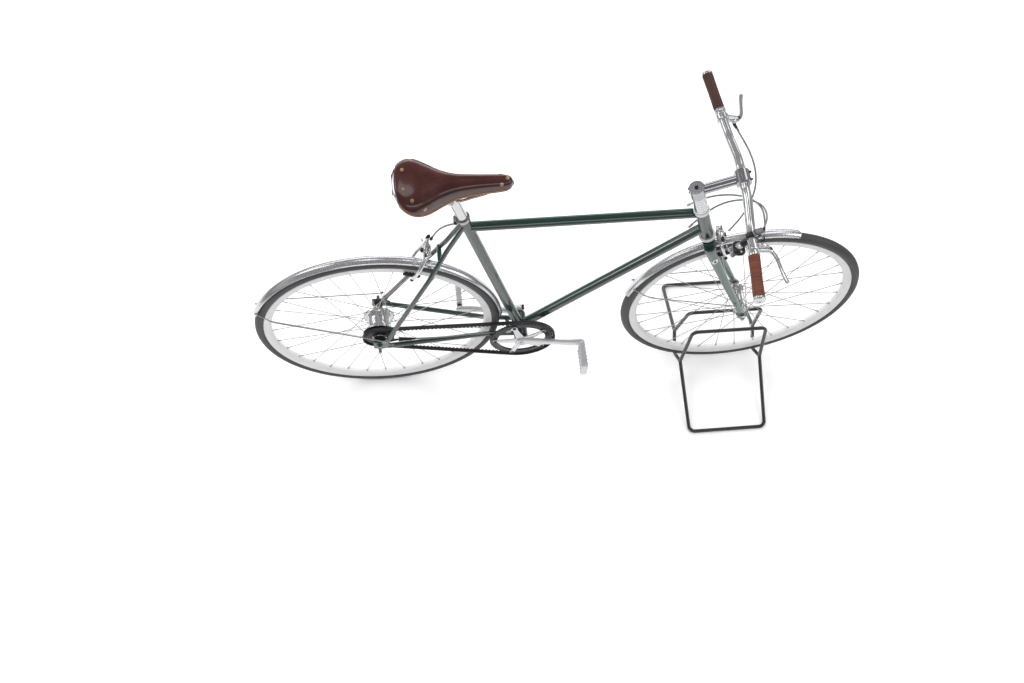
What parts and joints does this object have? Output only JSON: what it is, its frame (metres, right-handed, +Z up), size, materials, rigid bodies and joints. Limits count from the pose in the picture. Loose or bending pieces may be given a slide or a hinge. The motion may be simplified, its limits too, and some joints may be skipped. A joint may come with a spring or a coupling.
{
  "type": "city bicycle",
  "caption": "City bicycle with a slim steel diamond frame, toothed-belt drive, gear hub, narrow metal fenders, leather saddle and grips, its front wheel held in a low tubular floor stand.",
  "frame": {"origin": "on the floor, midway between the two wheel axles, in the bicycle's middle plane", "axes": "+X forward, towards the front wheel; +Y to the rider's left; +Z up"},
  "size_m": [1.718, 0.663, 1.025],
  "materials": {
    "frame_paint": "gloss",
    "polished_alloy": "polished",
    "polished_steel": "polished",
    "black_metal": "satin",
    "tyre": "matte",
    "leather": "satin",
    "belt": "matte",
    "pad_rubber": "matte",
    "black_plastic": "matte",
    "cable_housing": "satin"
  },
  "bodies": {
    "front": {"fork_crown": "frame_paint", "fork_blades": "frame_paint", "front_axle": "polished_steel", "headset_spacers": "polished_alloy", "stem": "polished_alloy", "handlebar": "polished_alloy", "grips": "leather", "grip_ends": "polished_alloy", "brake_levers": "polished_alloy", "gear_shifter": "black_plastic", "front_brake": "polished_alloy", "front_brake_pads": "pad_rubber", "front_brake_cable": "cable_housing", "front_fender": "polished_alloy", "front_fender_stays": "polished_steel", "display_stand": "black_metal"},
    "frame": {"headset_cups": "polished_alloy", "head_tube": "frame_paint", "top_tube": "frame_paint", "down_tube": "frame_paint", "seat_tube": "frame_paint", "bottom_bracket_shell": "frame_paint", "bottom_bracket_cups": "black_metal", "chain_stays": "frame_paint", "seat_stays": "frame_paint", "rear_dropouts": "frame_paint", "frame_bridges": "frame_paint", "seat_clamp": "polished_alloy", "seatpost": "polished_alloy", "saddle": "leather", "saddle_frame": "polished_steel", "rear_brake": "polished_alloy", "rear_brake_pads": "pad_rubber", "rear_fender": "polished_alloy", "rear_fender_stays": "polished_steel", "rear_axle": "polished_steel", "drive_belt": "belt", "shift_mechanism": "black_plastic", "frame_cables": "cable_housing", "steering_cables": "cable_housing"},
    "front_wheel": {"front_tyre": "tyre", "front_rim": "polished_alloy", "front_spokes": "polished_steel", "front_hub": "polished_alloy"},
    "rear_wheel": {"rear_tyre": "tyre", "rear_rim": "polished_alloy", "rear_spokes": "polished_steel", "rear_hub": "polished_alloy"},
    "rear_sprocket": {"rear_sprocket": "black_metal"},
    "crankset": {"crank_spindle": "polished_steel", "right_crank": "polished_alloy", "left_crank": "polished_alloy", "belt_ring": "black_metal"},
    "left_pedal": {"left_pedal": "polished_alloy"},
    "right_pedal": {"right_pedal": "polished_alloy"}
  },
  "joints": [
    {"name": "steering", "type": "hinge", "parent": "front", "child": "frame", "pos_m": [0.33059, 0, 0.77215], "axis": [-0.3173, 0, 0.9483], "range_deg": [-60, 60], "deforming": ["steering_cables"]},
    {"name": "front_wheel_spin", "type": "hinge", "parent": "front", "child": "front_wheel", "pos_m": [0.517, 0, 0.36], "axis": [0, 1, 0], "continuous": true},
    {"name": "rear_wheel_spin", "type": "hinge", "parent": "frame", "child": "rear_wheel", "pos_m": [-0.517, 0, 0.342], "axis": [0, 1, 0], "continuous": true},
    {"name": "crank_spin", "type": "hinge", "parent": "frame", "child": "crankset", "pos_m": [-0.114, 0, 0.28], "axis": [0, 1, 0], "continuous": true},
    {"name": "sprocket_spin", "type": "hinge", "parent": "frame", "child": "rear_sprocket", "pos_m": [-0.517, 0, 0.342], "axis": [0, 1, 0], "continuous": true},
    {"name": "left_pedal_spin", "type": "hinge", "parent": "crankset", "child": "left_pedal", "pos_m": [-0.284, 0.12, 0.28], "axis": [0, 1, 0], "continuous": true},
    {"name": "right_pedal_spin", "type": "hinge", "parent": "crankset", "child": "right_pedal", "pos_m": [0.056, -0.12, 0.28], "axis": [0, 1, 0], "continuous": true}
  ],
  "couplings": [
    {"joint": "sprocket_spin", "follows": "crank_spin", "ratio": 2.1154}
  ]
}
